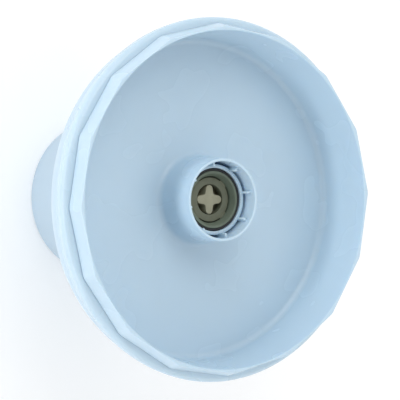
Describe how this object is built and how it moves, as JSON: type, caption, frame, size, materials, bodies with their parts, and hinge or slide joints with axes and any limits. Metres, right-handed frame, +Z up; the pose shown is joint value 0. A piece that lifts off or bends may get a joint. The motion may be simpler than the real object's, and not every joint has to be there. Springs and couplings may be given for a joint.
{
  "type": "floating chlorine dispenser",
  "caption": "Pool float with a faceted twist-off dish lid, a sprung vent valve in its middle, and a tablet canister below with a dosing dial in its foot.",
  "frame": {"origin": "centre of the canister's foot, on the surface that the dispenser stands on", "axes": "+Z up along the canister and out of the dish; +X is 2.5 degrees clockwise of a corner of the faceted rim and lies along the dosing dial's grip bar"},
  "size_m": [0.2106, 0.2106, 0.15],
  "materials": {
    "pale_blue": "satin moulded pale blue",
    "float_blue": "satin moulded pale blue",
    "valve_grey": "matt warm grey",
    "stem_beige": "matt beige",
    "black_rubber": "black rubber",
    "white_foam": "closed-cell foam",
    "stainless": "stainless steel"
  },
  "bodies": {
    "float": {"float_pan": "float_blue", "float_rim_ring": "pale_blue", "float_foam": "white_foam", "foam_cover": "float_blue", "tablet_canister": "pale_blue", "canister_gasket": "black_rubber", "canister_screw_1": "stainless", "canister_screw_2": "stainless", "canister_screw_3": "stainless", "canister_screw_4": "stainless", "tablet_grate": "float_blue", "dial_screw": "stainless", "dial_washer": "stainless"},
    "dial": {"dosing_dial": "float_blue"},
    "lid_carrier": {"lid_gasket": "black_rubber"},
    "lid": {"lid_dish": "pale_blue", "valve_body": "valve_grey", "valve_o_ring": "black_rubber", "valve_retainer": "valve_grey", "valve_spring": "stainless"},
    "poppet": {"valve_poppet": "stem_beige", "poppet_seal": "black_rubber"}
  },
  "joints": [
    {"name": "lid_rise", "type": "slide", "parent": "float", "child": "lid_carrier", "axis": [0, 0, 1], "range_m": [0, 0.01002]},
    {"name": "lid_screw", "type": "hinge", "parent": "lid_carrier", "child": "lid", "pos_m": [0, 0, 0.112], "axis": [0, 0, 1], "range_deg": [0, 300]},
    {"name": "vent_poppet", "type": "slide", "parent": "lid", "child": "poppet", "axis": [0, 0, 1], "range_m": [0, 0.0025], "stiffness_N_per_m": 300, "springref_m": -0.003, "deforming": ["valve_spring"]},
    {"name": "dial_turn", "type": "hinge", "parent": "float", "child": "dial", "pos_m": [0, 0, 0.014], "axis": [0, 0, 1], "range_deg": [0, 45]}
  ],
  "couplings": [
    {"joint": "lid_rise", "follows": "lid_screw", "m_per_rad": 0.0019099}
  ]
}
